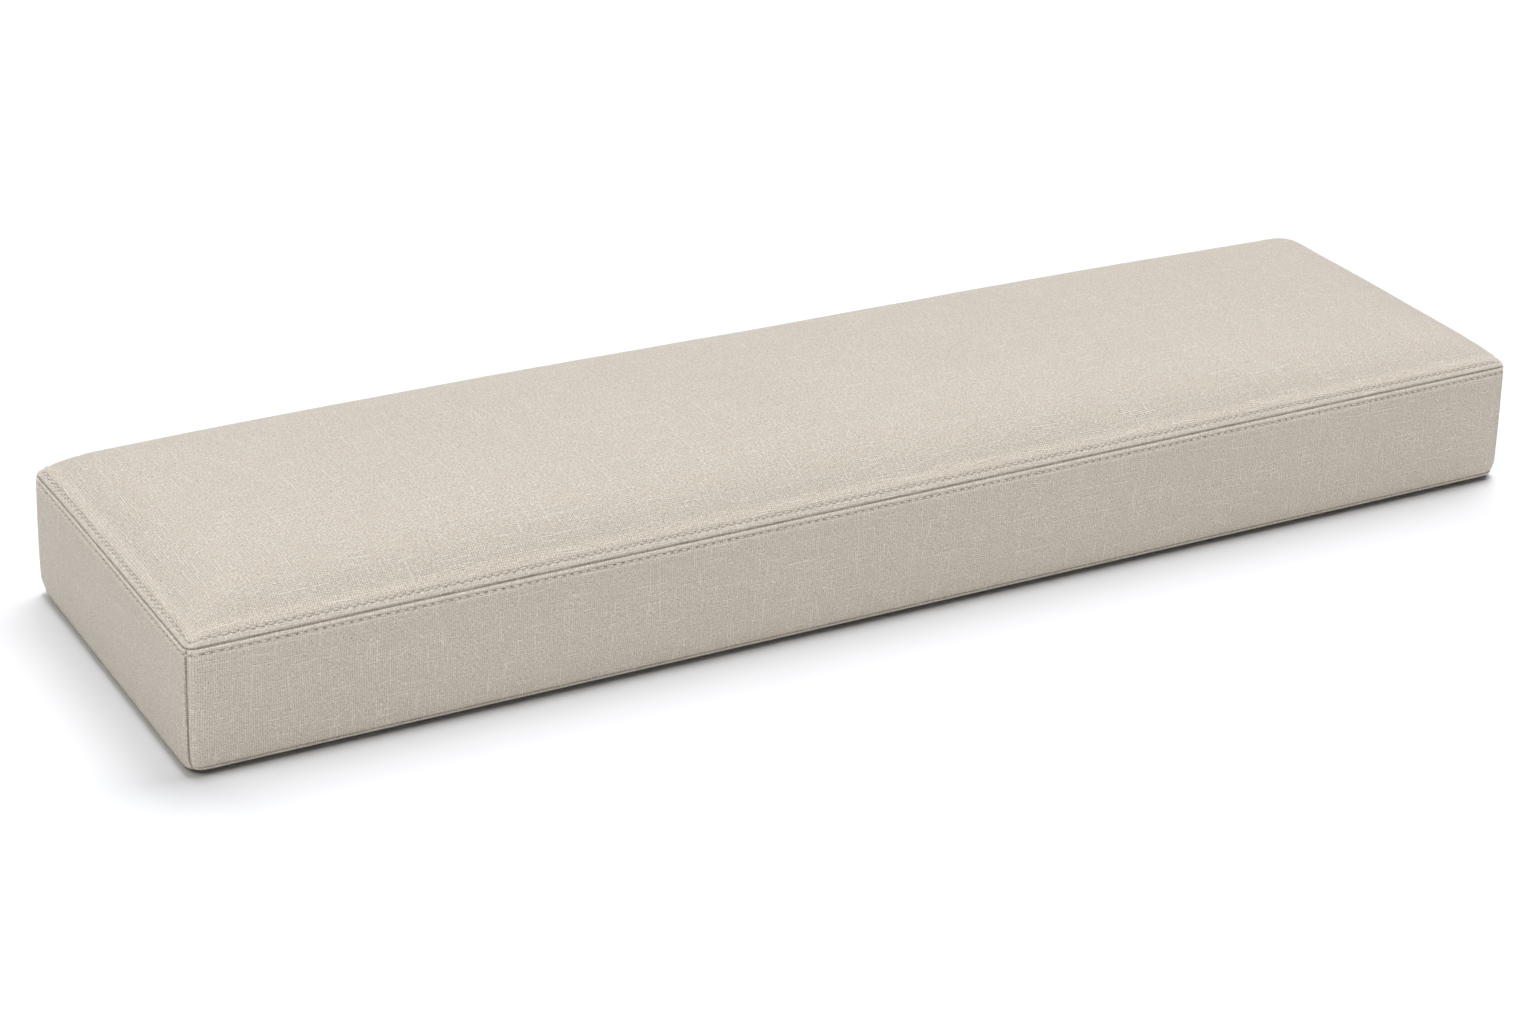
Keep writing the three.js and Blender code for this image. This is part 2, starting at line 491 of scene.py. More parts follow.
def fillCage():
    cageWalk, _ = walkRound(filling["cell"], 0, arcSteps([spacing["cornerHole"]]))
    cageRows = rowsUp(filling["row"], [0.0], [filling["panelRun"]], lowerEdge[::3])
    cage = buildShell(cageWalk, cageRows)
    start = shellPoints(cage, filling["startFullness"])
    pattern = shellPoints(cage)
    held = (cage["height"] < filling["heldBelow"]) | (np.abs(cage["run"]) < 1e-6)
    thing = meshObject("cage", start, cage["faces"])
    group = thing.vertex_groups.new(name="sewn")
    group.add(np.flatnonzero(held).tolist(), 1.0, "REPLACE")
    thing.shape_key_add(name="Basis")
    cut = thing.shape_key_add(name="cut")
    cut.data.foreach_set("co", (pattern * filling["ease"]).astype(np.float32).ravel())
    cloth = thing.modifiers.new("cloth", "CLOTH")
    for name, value in filling["cloth"].items():
        setattr(cloth.settings, name, value)
    cloth.settings.vertex_group_mass = "sewn"
    cloth.settings.effector_weights.gravity = 0
    cloth.settings.rest_shape_key = cut
    cloth.collision_settings.use_collision = False
    cloth.point_cache.frame_start = 1
    cloth.point_cache.frame_end = filling["frames"]
    scene = bpy.context.scene
    graph = bpy.context.evaluated_depsgraph_get()
    for frameNumber in range(1, filling["frames"] + 1):
        scene.frame_set(frameNumber)
        graph.update()
    filled = vectorsOf(thing.evaluated_get(graph).data.vertices, "co")
    scene.frame_set(1)
    mesh = thing.data
    bpy.data.objects.remove(thing)
    bpy.data.meshes.remove(mesh)
    moved = filled - start
    length = np.linalg.norm(moved, axis=1, keepdims=True)
    moved *= np.minimum(1, filling["mostMove"] / np.maximum(length, 1e-9))
    return start, pattern, moved


def softLimit(vectors, limit):
    length = np.linalg.norm(vectors, axis=1, keepdims=True)
    return vectors * limit * np.tanh(length / limit) / np.maximum(length, 1e-9)


def treeOf(points):
    tree = kdtree.KDTree(len(points))
    for index, point in enumerate(points):
        tree.insert(point, index)
    tree.balance()
    return tree


def follow(points, cagePoints, cageMoves, neighbours=10):
    # each point of the fine cover moves as the cage's nearest corners do
    tree = treeOf(cagePoints)
    moves = np.zeros_like(points)
    for index, point in enumerate(points):
        found = tree.find_n(point, neighbours)
        reach = found[-1][2] * 1.001
        weights = np.array([(1 - (distance / reach) ** 2) ** 2 for _, _, distance in found])
        moves[index] = weights @ cageMoves[[k for _, k, _ in found]] / weights.sum()
    return moves


start, pattern, moved = fillCage()
strays = follow(target, pattern, softLimit(start + moved - pattern, filling["mostStray"]))
strays[shell["height"] < filling["flatBelow"]] = 0
print("filled: the cover strays up to", round(np.abs(strays).max() / mm, 2), "mm")


# Slight unevenness that hands and the filling leave in the cover.
ripples = {
    "broad": {"size": 210 * mm, "height": 0.9 * mm},
    "soft": {"size": 62 * mm, "height": 0.28 * mm},
    "seed": 17.3,
    "from": 9 * mm,  # height at which they start
    "over": 25 * mm,  # and over which they come up to full height
    "seamShare": 0.8,  # how much of them the top seam takes away
    "seamReach": 14 * mm,
}


def rippleHeights(points):
    total = np.zeros(len(points))
    for kind in ("broad", "soft"):
        size, height = ripples[kind]["size"], ripples[kind]["height"]
        shift = Vector((ripples["seed"], size * 400, 3.1))
        total += height * np.array([noise.noise(Vector(point) / size + shift) for point in points])
    return total


def bell(distance, width):
    return np.exp(-((distance / width) ** 2) / 2)


def cusp(distance, width):
    return np.exp(-np.abs(distance) / width)


def rolledIn(distance, radius):
    # 1 at the seam, 0 from one radius away, round in between
    share = np.clip(1 - distance / radius, 0, 1)
    return 1 - np.sqrt(1 - share**2)


def lowerShare():
    # the lower seam is drawn in along the front and the back and hardly shows at the ends
    return 1 - (1 - sewing["lowerAtEnds"]) * shell["out"][:, 0] ** 2


def arcHere():
    # distance round a corner from its upright seam, and no number away from the corners
    arcs = np.array([np.nan if s["arc"] is None else s["arc"] for s in walk] + [np.nan])
    return arcs[shell["station"]]


# Painted shade: cloth coloured darker in the depth of a seam or a needle hole and under the rolled lower
# edge, where shade falls.
paintedShades = {
    "topSeam": {"share": 0.5, "width": 0.16 * mm},
    "upright": {"share": 1.0, "width": 0.55 * mm, "from": 5 * mm},
    "lowerSeam": {"share": 0.5, "width": 0.24 * mm},
    "under": {"share": 1.4, "from": 0.5 * mm, "to": 3.6 * mm},
    "hole": {"share": 0.66, "width": 0.5 * mm, "length": 0.8 * mm},
}

# Painted highlights: cloth coloured lighter on the ridges that catch the light, from the top seam's lips
# to the panel's rolled edge.
paintedHighlights = [
    {"part": "boxing", "run": -1.6 * mm, "width": 0.8 * mm, "share": 0.52},
    {"part": "boxing", "run": -7.0 * mm, "width": 0.9 * mm, "share": 0.30},
    {"part": "boxing", "run": -101.6 * mm, "width": 0.8 * mm, "share": 0.65},
    {"part": "panel", "run": 1.6 * mm, "width": 0.8 * mm, "share": 0.04},
    {"part": "panel", "run": 14 * mm, "width": 9 * mm, "share": 0.20},
]


def paintedShadingOnCover():
    # painted shade and highlights: 1 in the depth of a seam, 0 on open cloth and less than 0 on a ridge
    # with a painted highlight
    run, height = shell["run"], shell["height"]
    isBoxing = shell["part"] == "boxing"

    def darkened(seam, distance):
        return paintedShades[seam]["share"] * cusp(distance, paintedShades[seam]["width"])

    upright = isBoxing & (height > paintedShades["upright"]["from"])
    arc = np.nan_to_num(arcHere(), nan=1.0)
    paintedShading = np.maximum(darkened("topSeam", run), np.where(upright, darkened("upright", arc), 0))
    lower = lowerShare() * darkened("lowerSeam", height - sewing["lowerSeam"])
    # painted shade under the rolled lower edge
    under = (height > paintedShades["under"]["from"]) & (height < paintedShades["under"]["to"])
    lower = np.where(under, paintedShades["under"]["share"], lower)
    paintedShading = np.maximum(paintedShading, np.where(isBoxing, lower, 0))
    # painted highlights on the ridges
    for ridge in paintedHighlights:
        there = shell["part"] == ridge["part"]
        paintedShading -= ridge["share"] * there * bell(run - ridge["run"], ridge["width"])
    return paintedShading


def sewInto(points, normals):
    # presses the seams and the stitched channels into the cover
    run, height, out = shell["run"], shell["height"], shell["out"]
    arc = arcHere()
    isBoxing = shell["part"] == "boxing"

    moved = np.zeros_like(points)
    pull = math.radians(sewing["pullAngle"])
    inward = np.column_stack([-out * math.cos(pull), np.full(len(points), -math.sin(pull))])
    shoulder = np.where(
        isBoxing,
        sewing["boxingShoulder"] * rolledIn(-run, sewing["boxingRoll"]),
        sewing["panelShoulder"] * rolledIn(run, sewing["panelRoll"]),
    )
    crease = sewing["creaseDepth"] * cusp(run, sewing["creaseWidth"])
    crease *= np.where(isBoxing, sewing["creaseBoxing"], 1)
    moved += inward * (crease + shoulder)[:, None]

    press = np.zeros(len(points))
    for side, row in ((-1, "boxing"), (1, "panel")):
        away = side * run - sewing[row + "Run"]
        inner = bell(away, sewing["channelInner"])
        outer = 1 / (1 + (away / sewing["channelOuter"]) ** 2)
        if row == "boxing":
            ridge = bell(away - sewing["ridgePlace"], sewing["ridgeWidth"])
            outer = inner - ridge * sewing["ridgeHeight"] / sewing["boxingChannel"]
        press += sewing[row + "Channel"] * np.where(away < 0, inner, outer) * (side * run > 0)
        press += sewing["notchDepth"] * cusp(away, sewing["notchWidth"])
    lower = np.where(isBoxing, height - sewing["lowerSeam"], 1.0)
    press += sewing["lowerDepth"] * lowerShare() * cusp(lower, sewing["lowerWidth"])
    fade = np.clip((height - sewing["uprightFrom"]) / sewing["uprightFade"], 0, 1)
    fade *= np.clip(-run / sewing["uprightEnd"], 0, 1)
    upright = np.where(isBoxing & ~np.isnan(arc), fade, 0)
    fromSeam = np.nan_to_num(arc, nan=1.0)
    press += upright * sewing["uprightDepth"] * cusp(fromSeam, sewing["uprightWidth"])
    beside = bell(np.abs(fromSeam) - sewing["lipPlace"], sewing["lipWidth"])
    press -= upright * sewing["uprightLip"] * beside
    return points + moved - normals * press[:, None]


def needleHoles(kind):
    # vertices of the needle holes in order round the cushion
    wanted = -sewing["boxingRun"] if kind == "boxing" else sewing["panelRun"]
    number = int(np.argmin([abs(row["run"] - wanted) for row in rows]))
    return [shell["rings"][number][k] for k, s in enumerate(walk) if s[kind + "Hole"]]


def pressHoles(points, normals, holes, paintedShading):
    tree = treeOf(points[holes])
    near = np.flatnonzero(np.abs(shell["run"]) < sewing["holeReach"])
    distance = np.array([tree.find(points[k])[2] for k in near])
    run = shell["run"][near]
    across = np.abs(run - np.where(run < 0, -sewing["boxingRun"], sewing["panelRun"]))
    along = np.sqrt(np.maximum(distance**2 - across**2, 0))
    depth = bell(across, sewing["holeWidth"]) * bell(along, sewing["holeLength"])
    result = points.copy()
    result[near] -= normals[near] * (sewing["holeDepth"] * depth)[:, None]
    # painted shade in and round each needle hole
    hole = paintedShades["hole"]
    paintedShading[near] += hole["share"] * bell(across, hole["width"]) * bell(along, hole["length"])
    return result


boltStep = (0.613, 1.937)  # metres on the bolt from one cut piece to the next


def clothMap(mesh):
    # lays the weave along each cut piece, in metres, every piece from its own part of the bolt
    corners = np.zeros(len(mesh.loops), int)
    mesh.loops.foreach_get("vertex_index", corners)
    sizes = np.array([len(face) for face in shell["faces"]])
    faceOf = np.repeat(np.arange(len(sizes)), sizes)
    x, y = shell["plan"][corners].T
    fromEnd, edge = halfX - np.abs(x), cushion["edgeWidth"]
    endRun = clothRun(np.minimum(fromEnd, halfY)) + np.maximum(fromEnd - halfY, 0)
    panelU = np.sign(x) * (halfX + clothRun(edge) - edge - endRun)
    panelV = np.sign(y) * (clothRun(halfY) - clothRun(halfY - np.abs(y)))

    stationRound = np.array([s["round"] for s in walk] + [0.0])
    isPast = [s["arc"] is not None and s["arc"] >= 0 for s in walk]
    strip = np.array([(s["side"] + past) % 4 for s, past in zip(walk, isPast)])
    kinds, firstOf = (np.array(values) for values in zip(*shell["partOf"]))
    piece = np.where(kinds == "boxing", strip[firstOf], np.where(kinds == "panel", 4, 5))[faceOf]
    around = stationRound[shell["station"][corners]]
    wrap = (piece == 0) & (around > roundTotal / 2)
    around = np.where(wrap, around - roundTotal, around)
    upward = np.nan_to_num(shell["height"][corners], nan=cushion["seamHeight"])

    which = [piece < 4, piece == 4]
    u = np.select(which, [around, panelU], x) + piece * boltStep[0]
    v = np.select(which, [upward, panelV], y) + piece * boltStep[1]
    layer = mesh.uv_layers.new(name="cloth")
    layer.uv.foreach_set("vector", np.stack([u, v], 1).astype(np.float32).ravel())


def shapeCover(points):
    cover.data.vertices.foreach_set("co", points.astype(np.float32).ravel())
    cover.data.update()


cover = meshObject("cushion_cover", target + strays, shell["faces"])
smoothNormals = vectorsOf(cover.data.vertex_normals, "vector")
upThere = np.nan_to_num(shell["height"], nan=1.0) - ripples["from"]
waves = rippleHeights(target) * np.clip(upThere / ripples["over"], 0, 1)
waves *= 1 - ripples["seamShare"] * bell(shell["run"], ripples["seamReach"])
sewn = sewInto(target + strays + smoothNormals * waves[:, None], smoothNormals)
shapeCover(sewn)
sewnNormals = vectorsOf(cover.data.vertex_normals, "vector")
boxingHoles, panelHoles = needleHoles("boxing"), needleHoles("panel")
paintedShading = paintedShadingOnCover()
stitched = pressHoles(sewn, smoothNormals, boxingHoles + panelHoles, paintedShading)
# the painted shade and highlights go onto the cover, for its linen to darken and lighten the cloth
cover.data.attributes.new("paintedShading", "FLOAT", "POINT").data.foreach_set("value", paintedShading.astype(np.float32))
shift = np.array([cushionLow.x + halfX, (cushionLow + cushionHigh).y / 2, 0])
shapeCover(stitched + shift)
clothMap(cover.data)
cover.data.shade_smooth()
print("cover sewn:", len(cover.data.vertices), "vertices,", len(boxingHoles) + len(panelHoles), "holes")


def plug(node, values):
    # joins a node's inputs to wires or sockets, and sets the others
    for name, value in values.items():
        source = value.socket if isinstance(value, Wire) else value
        if isinstance(source, bpy.types.NodeSocket):
            node.id_data.links.new(source, node.inputs[name])
        else:
            node.inputs[name].default_value = value


def addNode(tree, kind, settings=None, values=None):
    made = tree.nodes.new(kind)
    for name, value in (settings or {}).items():
        setattr(made, name, value)
    plug(made, values or {})
    return made


# Shader nodes from Python expressions: a Wire is one output, and sums and products of wires add
# the nodes that work them out.
class Wire:
    def __init__(self, tree, socket):
        self.tree = tree
        self.socket = socket

    def node(self, kind, settings=None, values=None, output=0):
        return Wire(self.tree, addNode(self.tree, kind, settings, values).outputs[output])

    def calc(self, operation, *values):
        return self.node("ShaderNodeMath", {"operation": operation}, dict(enumerate((self, *values))))

    def __add__(self, other):
        return self.calc("ADD", other)

    __radd__ = __add__

    def __mul__(self, other):
        return self.calc("MULTIPLY", other)

    __rmul__ = __mul__

    def __sub__(self, other):
        return self.calc("SUBTRACT", other)

    def __rsub__(self, other):
        return (self * -1).calc("ADD", other)

    def __truediv__(self, other):
        return self.calc("DIVIDE", other)

    def ridge(self):
        # 1 half way through every whole step, falling round to 0 at its ends
        return 1 - (self.calc("FRACT") * 2 - 1).calc("POWER", 2)

    def most(self, other):
        return self.calc("MAXIMUM", other)

    def above(self, low, high):
        # 0 below low, 1 over high, and a smooth step between
        values = {"Value": self, "From Min": low, "From Max": high}
        return self.node("ShaderNodeMapRange", {"interpolation_type": "SMOOTHSTEP"}, values)

    def cloud(self, scale, detail=0.0, roughness=0.5, depth=3):
        # smooth noise round 0, read at this place
        settings = {"noise_dimensions": f"{depth}D"}
        values = {"Vector": self, "Scale": scale, "Detail": detail, "Roughness": roughness}
        return self.node("ShaderNodeTexNoise", settings, values) - 0.5

    def place(self, x, y):
        return self.node("ShaderNodeCombineXYZ", None, {"X": x, "Y": y})

    def axis(self, name):
        return self.node("ShaderNodeSeparateXYZ", None, {"Vector": self}, name)

    def tint(self, first, second):
        # this much of the second colour over the first
        settings = {"data_type": "RGBA", "clamp_factor": True}
        return self.node("ShaderNodeMix", settings, {"Factor": self, 6: first, 7: second}, 2)

    def times(self, colour):
        # a colour made lighter or darker by this number
        settings = {"operation": "SCALE"}
        return self.node("ShaderNodeVectorMath", settings, {0: colour, "Scale": self})


def newFinish(name):
    material = bpy.data.materials.new(name)
    material.use_nodes = True
    tree = material.node_tree
    shader = next(n for n in tree.nodes if n.type == "BSDF_PRINCIPLED")
    return material, shader, Wire(tree, None)


# Beige linen: a plain weave of uneven yarn, with slubs both ways, knots and clouding.
linen = {
    "base": (0.605, 0.548, 0.482, 1),
    "slub": (0.78, 0.73, 0.665, 1),
    "fleck": (0.36, 0.32, 0.27, 1),
    "yarn": 1.7 * mm,  # spacing of the yarns, both ways
    "yarnLength": 8 * mm,  # over which a yarn keeps its tone
    "slubWidth": 1.25 * mm,
    "slubLength": 40 * mm,
    "slubStart": (0.165, 0.215),  # the higher, the fewer slubs
    "fineLength": 14 * mm,  # fine slubs
    "fineStart": (0.2, 0.3),
    "fineShare": 0.5,
    "spots": 75.0,  # to the metre, of which a few are knots or flecks
    "spotEdge": (0.04, 0.09),  # where a spot fades out, as shares of their spacing
    "knots": (0.88, 0.9),  # the higher, the fewer
    "flecks": (0.05, 0.06),  # the lower, the fewer
    "wander": 3.2 * mm,  # how far the yarns drift from straight
    "wanders": 11.0,  # to the metre
    "waver": 0.5 * mm,  # a closer, smaller drift
    "wavers": 62.0,
    "clouds": 7.0,  # to the metre
    "smallClouds": 38.0,
    "smallShare": 0.25,
    "strand": 0.8 * mm,  # width of the fine strands that make up the yarns
    "strandLength": 2.0 * mm,
    "strandTone": 0.43,
    "yarnTone": 0.20,
    "weaveTone": 0.38,
    "slubTone": 0.54,
    "knotTone": 0.7,
    "fleckTone": 0.5,
    "cloudTone": 0.07,
    # painted shade and highlights: how strongly the cover's painted shading darkens seams and holes and
    # lightens ridges
    "paintedShadingTone": 0.62,  # how much darker the cloth is deep in a seam
    "bump": 0.24 * mm,
    "relief": {"weave": 0.8, "yarn": 0.3, "strand": 0.3, "slub": 1.1, "knot": 0.8},  # of that bump
    "roughness": 0.9,
    "slubRoughness": -0.08,
    "yarnRoughness": 0.1,
    "sheen": 0.2,
    "sheenRoughness": 0.45,
    "specular": 0.25,
}


def makeLinen():
    material, shader, start = newFinish("linen")
    flat = start.node("ShaderNodeUVMap", {"uv_map": "cloth"})

    def drift(place, scale, reach):
        # moves a place on the cloth sideways by smooth noise
        values = {"Vector": place, "Scale": scale, "Detail": 1.0}
        swirl = place.node("ShaderNodeTexNoise", {"noise_dimensions": "2D"}, values, 1)
        values = {0: swirl, 1: (2 * reach,) * 3, 2: (-reach, -reach, 0)}
        push = swirl.node("ShaderNodeVectorMath", {"operation": "MULTIPLY_ADD"}, values)
        return place.node("ShaderNodeVectorMath", {"operation": "ADD"}, {0: place, 1: push})

    cloth = drift(flat, linen["wanders"], linen["wander"])
    cloth = drift(cloth, linen["wavers"], linen["waver"])
    across, along = cloth.axis("X"), cloth.axis("Y")

    a, b = across / linen["yarn"], along / linen["yarn"]
    warpNumber, weftNumber = a.calc("FLOOR"), b.calc("FLOOR")
    warpOver = ((b - warpNumber - 0.5) * math.pi).calc("COSINE") * 0.5 + 0.5
    weftOver = 0.5 - ((a - weftNumber - 0.5) * math.pi).calc("COSINE") * 0.5
    warpHeight, weftHeight = a.ridge() * warpOver, b.ridge() * weftOver
    warpShows = warpHeight.calc("GREATER_THAN", weftHeight)
    weave = warpHeight.most(weftHeight)

    def yarnTone(number, lengthwise, salt):
        # a salt reads each of these from its own part of the noise
        place = start.place(number * 7.31 + salt, lengthwise / linen["yarnLength"])
        return place.cloud(1.0, 1.0, 0.6, 2)

    warpTone = yarnTone(warpNumber, along, 3.0)
    weftTone = yarnTone(weftNumber, across, 57.0)
    yarn = warpShows * warpTone + (1 - warpShows) * weftTone

    def strands(sideways, lengthwise, salt):
        # fine strands lying close beside each other
        place = start.place(sideways / linen["strand"] + salt, lengthwise / linen["strandLength"])
        return place.cloud(1.0, 0.0, 0.5, 2)

    grain = strands(across, along, 5.0) + strands(along, across, 41.0)

    def slubs(crosswise, lengthwise, salt, size, limits):
        # a few thick yarns, each swelling and thinning along its length
        lane = crosswise / linen["slubWidth"]
        place = start.place(lane.calc("FLOOR") * 5.17 + salt, lengthwise / size)
        return place.cloud(1.0, 0.6, 0.5, 2).above(*limits) * lane.ridge()

    def slubsBothWays(salts, size, limits):
        first = slubs(across, along, salts[0], size, limits)
        return first.most(slubs(along, across, salts[1], size, limits))

    slub = slubsBothWays((11.0, 83.0), linen["slubLength"], linen["slubStart"])
    fine = slubsBothWays((131.0, 177.0), linen["fineLength"], linen["fineStart"])
    slub = slub.most(fine * linen["fineShare"])

    settings = {"voronoi_dimensions": "2D"}
    values = {"Vector": cloth, "Scale": linen["spots"]}
    spot = cloth.node("ShaderNodeTexVoronoi", settings, values)
    pick = cloth.node("ShaderNodeTexVoronoi", settings, values, 1).axis("X")
    near = 1 - spot.above(*linen["spotEdge"])
    knot = near * pick.above(*linen["knots"])
    fleck = near * (1 - pick.above(*linen["flecks"]))

    small = cloth.cloud(linen["smallClouds"], 2.0, 0.5) * linen["smallShare"]
    cloud = cloth.cloud(linen["clouds"], 3.0, 0.55) + small
    tone = 1 + yarn * linen["yarnTone"] + grain * linen["strandTone"] + cloud * linen["cloudTone"]
    tone = tone + (weave - 0.6) * linen["weaveTone"]
    colour = tone.times((slub * linen["slubTone"]).tint(linen["base"], linen["slub"]))
    colour = (knot * linen["knotTone"]).tint(colour, linen["slub"])
    colour = (fleck * linen["fleckTone"]).tint(colour, linen["fleck"])
    # painted shade in seams, holes and under the lower edge, and painted highlights on ridges, read from
    # the cover
    paintedShading = start.node("ShaderNodeAttribute", {"attribute_name": "paintedShading"}, None, 2)
    colour = (1 - paintedShading * linen["paintedShadingTone"]).times(colour)
    relief = linen["relief"]
    height = weave * relief["weave"] + yarn * relief["yarn"] + grain * relief["strand"]
    height = height + slub * relief["slub"] + knot * relief["knot"]
    values = {"Strength": 1.0, "Distance": linen["bump"], "Height": height}
    rough = linen["roughness"] + slub * linen["slubRoughness"] + yarn * linen["yarnRoughness"]
    plug(shader, {
        "Base Color": colour,
        "Roughness": rough,
        "Normal": start.node("ShaderNodeBump", None, values),
        "Sheen Weight": linen["sheen"],
        "Sheen Roughness": linen["sheenRoughness"],
        "Specular IOR Level": linen["specular"],
    })
    return material


linenFinish = makeLinen()
cover.data.materials.append(linenFinish)
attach(cover, "root")
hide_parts("cushion")
print("cover in linen")


# Top-stitching: one bowed length of thread from each needle hole to the next.
thread = {
    "colour": (0.74, 0.69, 0.62, 1),
    "dark": (0.54, 0.49, 0.43, 1),
    "width": 1.35 * mm,
    "share": 0.62,  # of the way from hole to hole
    "rise": 0.45 * mm,  # how far the middle stands off the channel
    "dive": 0.8 * mm,  # how far the ends go under
    "crooked": 5.0,  # degrees
    "lift": 0.1 * mm,  # from the cloth to the path of the stitches
    "facets": 6,
    "twists": 3.0,
    "twistTone": 0.3,
    "bump": 0.1 * mm,
    "roughness": 0.6,
    "sheen": 0.15,
}


def makeThread():
    material, shader, start = newFinish("thread")
    ply = start.node("ShaderNodeAttribute", {"attribute_name": "ply"}, None, 1)
    bearing = ply.axis("Z").calc("ARCTAN2", ply.axis("Y"))
    twist = ((ply.axis("X") * (thread["twists"] * 2 * math.pi)) + bearing * 2).calc("COSINE")
    dark = twist * thread["twistTone"] + thread["twistTone"]
    values = {"Strength": 0.7, "Distance": thread["bump"], "Height": twist}
    plug(shader, {
        "Base Color": dark.tint(thread["colour"], thread["dark"]),
        "Normal": start.node("ShaderNodeBump", None, values),
        "Roughness": thread["roughness"],
        "Sheen Weight": thread["sheen"],
    })
    return material


stitchSizes = ("Width", "Share", "Rise", "Dive", "Crooked")


def stitchTree(material):
    # Geometry Nodes: a stitch on every edge of the path from hole to hole
    tree = bpy.data.node_groups.new("stitches", "GeometryNodeTree")
    kinds = {"Path": "Geometry", **dict.fromkeys(stitchSizes, "Float"), "Seed": "Int"}
    for name, kind in kinds.items():
        tree.interface.new_socket(name=name, in_out="INPUT", socket_type="NodeSocket" + kind)
    tree.interface.new_socket(name="Stitches", in_out="OUTPUT", socket_type="NodeSocketGeometry")

    def add(kind, settings=None, values=None):
        return addNode(tree, kind, settings, values).outputs[0]

    def calc(operation, *values):
        return add("ShaderNodeMath", {"operation": operation}, dict(enumerate(values)))

    def vector(x, y, z):
        return add("ShaderNodeCombineXYZ", None, {"X": x, "Y": y, "Z": z})

    given = addNode(tree, "NodeGroupInput").outputs
    ends = addNode(tree, "GeometryNodeInputMeshEdgeVertices").outputs
    values = {0: ends["Position 2"], 1: ends["Position 1"]}
    span = add("ShaderNodeVectorMath", {"operation": "SUBTRACT"}, values)
    settings = {"data_type": "FLOAT_VECTOR"}
    up = addNode(tree, "GeometryNodeInputNamedAttribute", settings, {"Name": "up"})
    keep = addNode(tree, "GeometryNodeCaptureAttribute", {"domain": "EDGE"})
    keep.capture_items.new("VECTOR", "span")
    keep.capture_items.new("VECTOR", "up")
    plug(keep, {"Geometry": given["Path"], "span": span, "up": up.outputs["Attribute"]})
    kept = keep.outputs
    points = add("GeometryNodeMeshToPoints", {"mode": "EDGES"}, {"Mesh": kept["Geometry"]})
    settings = {"primary_axis": "X", "secondary_axis": "Z"}
    turn = add("FunctionNodeAxesToRotation", settings, {0: kept["span"], 1: kept["up"]})
    most = calc("MULTIPLY", given["Crooked"], math.pi / 180)
    values = {2: calc("MULTIPLY", most, -1.0), 3: most, "Seed": given["Seed"]}
    angle = addNode(tree, "FunctionNodeRandomValue", {"data_type": "FLOAT"}, values)
    values = {"Axis": (0, 0, 1), "Angle": angle.outputs[1]}
    askew = add("FunctionNodeAxisAngleToRotation", None, values)
    turned = add("FunctionNodeRotateRotation", {"rotation_space": "LOCAL"}, {0: turn, 1: askew})

    length = addNode(tree, "ShaderNodeVectorMath", {"operation": "LENGTH"}, {0: kept["span"]})
    shown = calc("MULTIPLY", length.outputs["Value"], given["Share"])

    # the middle of the bow lies halfway up from its ends to its control point
    under = calc("MULTIPLY", given["Dive"], -1.0)
    reach = calc("MULTIPLY_ADD", given["Rise"], 2.0, given["Dive"])
    bow = {"Resolution": thread["facets"], "Middle": vector(0.0, 0.0, reach)}
    bow.update({"Start": vector(-0.5, 0.0, under), "End": vector(0.5, 0.0, under)})
    line = add("GeometryNodeCurveQuadraticBezier", None, bow)
    values = {"Resolution": thread["facets"], "Radius": calc("MULTIPLY", given["Width"], 0.5)}
    ring = add("GeometryNodeCurvePrimitiveCircle", {"mode": "RADIUS"}, values)
    values = {"Curve": line, "Profile Curve": ring, "Fill Caps": True}
    one = add("GeometryNodeCurveToMesh", None, values)
    settings = {"data_type": "FLOAT_VECTOR", "domain": "POINT"}
    values = {"Geometry": one, "Name": "ply", "Value": add("GeometryNodeInputPosition")}
    marked = add("GeometryNodeStoreNamedAttribute", settings, values)
    smooth = add("GeometryNodeSetShadeSmooth", None, {"Geometry": marked})
    laid = {"Points": points, "Instance": smooth, "Rotation": turned, "Scale": vector(shown, 1.0, 1.0)}
    many = add("GeometryNodeInstanceOnPoints", None, laid)
    real = add("GeometryNodeRealizeInstances", None, {"Geometry": many})
    finish = add("GeometryNodeSetMaterial", None, {"Geometry": real, "Material": material})
    addNode(tree, "NodeGroupOutput", None, {"Stitches": finish})
    return tree


def stitchRow(name, holes, seed, tree):
    spots = (sewn + shift)[holes] + sewnNormals[holes] * thread["lift"]
    edges = [(k, (k + 1) % len(holes)) for k in range(len(holes))]
    path = meshObject(name + "_path", spots, [], edges)
    up = path.data.attributes.new("up", "FLOAT_VECTOR", "POINT")
    up.data.foreach_set("vector", smoothNormals[holes].astype(np.float32).ravel())
    sewer = path.modifiers.new("stitches", "NODES")
    sewer.node_group = tree
    values = {"Seed": seed, **{name: thread[name.lower()] for name in stitchSizes}}
    for item in tree.interface.items_tree:
        if item.name in values:
            sewer[item.identifier] = values[item.name]
    bpy.context.view_layer.update()
    graph = bpy.context.evaluated_depsgraph_get()
    row = placed(name, bpy.data.meshes.new_from_object(path.evaluated_get(graph)))
    bpy.data.objects.remove(path)
    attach(row, "root")
    return row


threadFinish = makeThread()
stitches = stitchTree(threadFinish)
panelRow = stitchRow("panel_stitches", panelHoles, 4, stitches)
boxingRow = stitchRow("boxing_stitches", boxingHoles, 9, stitches)
print("stitched:", len(panelRow.data.polygons) + len(boxingRow.data.polygons), "faces of thread")


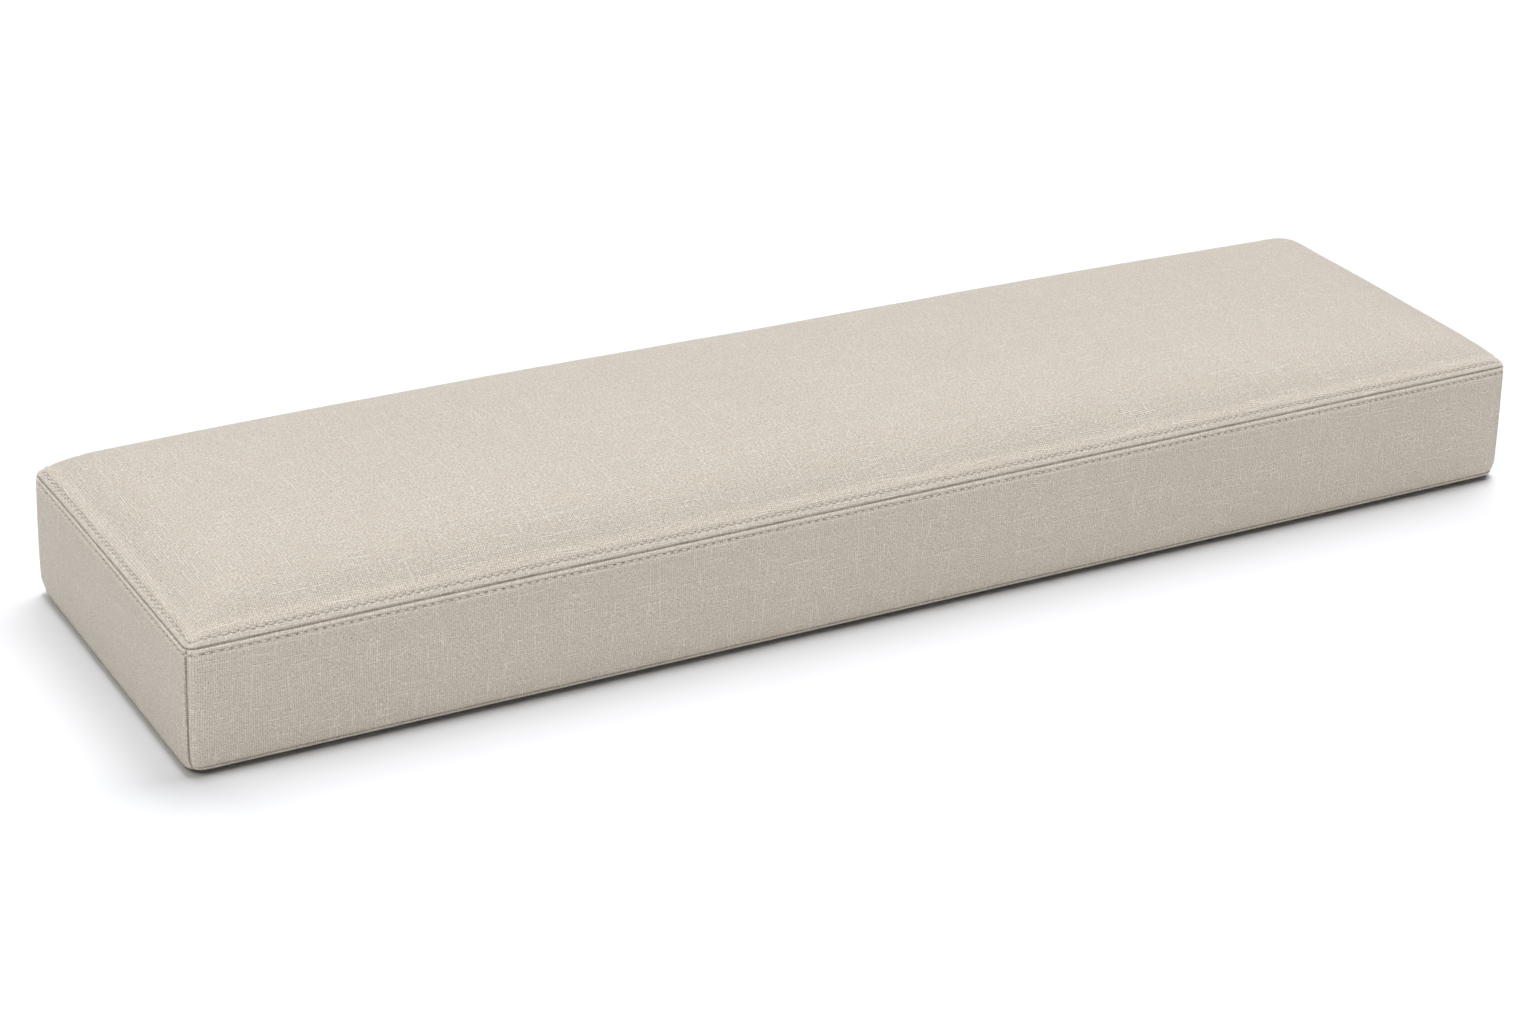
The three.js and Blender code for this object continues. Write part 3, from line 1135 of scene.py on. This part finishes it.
# Studio: a white floor and large soft lamps so far off that they light it evenly.
studio = {
    "floorSize": 40.0,
    "floorColour": (0.918, 0.928, 0.955, 1),
    "floorRoughness": 0.95,
    "surroundings": 1.0,  # brightness of the space beyond the floor, which gives no light itself
}

# Turn is a lamp's bearing, clockwise from straight back, up its height in degrees, and spread how
# wide it looks. Light is what a face turned towards it gets, where 1 shows white cloth as white.
lamps = {
    "overhead": {"turn": -20, "up": 87.2, "spread": 8, "light": 0.30, "colour": (0.93, 0.94, 1)},
    "canopy": {"turn": 60, "up": 62, "spread": 40, "light": 0.61, "colour": (0.995, 1, 1)},
    "back": {"turn": 0, "up": 45, "spread": 40, "light": 0.22, "colour": (1, 1, 0.98)},
    "left": {"turn": 270, "up": 55, "spread": 30, "light": 0.22, "colour": (1, 0.985, 0.9)},
    "low": {"turn": 205, "up": 4, "spread": 6, "light": 0.332, "colour": (1, 0.98, 0.92)},
}


def makeFloor():
    corners = np.array([(-1, -1, 0), (1, -1, 0), (1, 1, 0), (-1, 1, 0)]) * studio["floorSize"] / 2
    floor = meshObject("floor", corners, [[0, 1, 2, 3]])
    material, shader, _ = newFinish("floor_white")
    plug(shader, {"Base Color": studio["floorColour"], "Roughness": studio["floorRoughness"]})
    plug(shader, {"Specular IOR Level": 0.0})
    floor.data.materials.append(material)


def makeLamp(name, lamp):
    towards = direction(lamp["turn"], lamp["up"])
    light = bpy.data.lights.new(name, "SUN")
    light.energy = lamp["light"] * math.pi
    light.angle = math.radians(lamp["spread"])
    light.color = lamp["colour"]
    thing = placed(name, light)
    thing.location = towards * 3  # only keeps the lamps apart in the viewport
    thing.rotation_mode = "QUATERNION"
    thing.rotation_quaternion = towards.to_track_quat("Z", "Y")


def makeSurroundings():
    world = bpy.data.worlds.new("studio")
    world.use_nodes = True
    background = next(n for n in world.node_tree.nodes if n.type == "BACKGROUND")
    rays = Wire(world.node_tree, None).node("ShaderNodeLightPath")
    plug(background, {"Strength": rays * studio["surroundings"], "Color": (1, 1, 1, 1)})
    bpy.context.scene.world = world
    bpy.context.scene.view_settings.view_transform = "Standard"


makeFloor()
for name, lamp in lamps.items():
    makeLamp(name, lamp)
makeSurroundings()
print("studio lit")
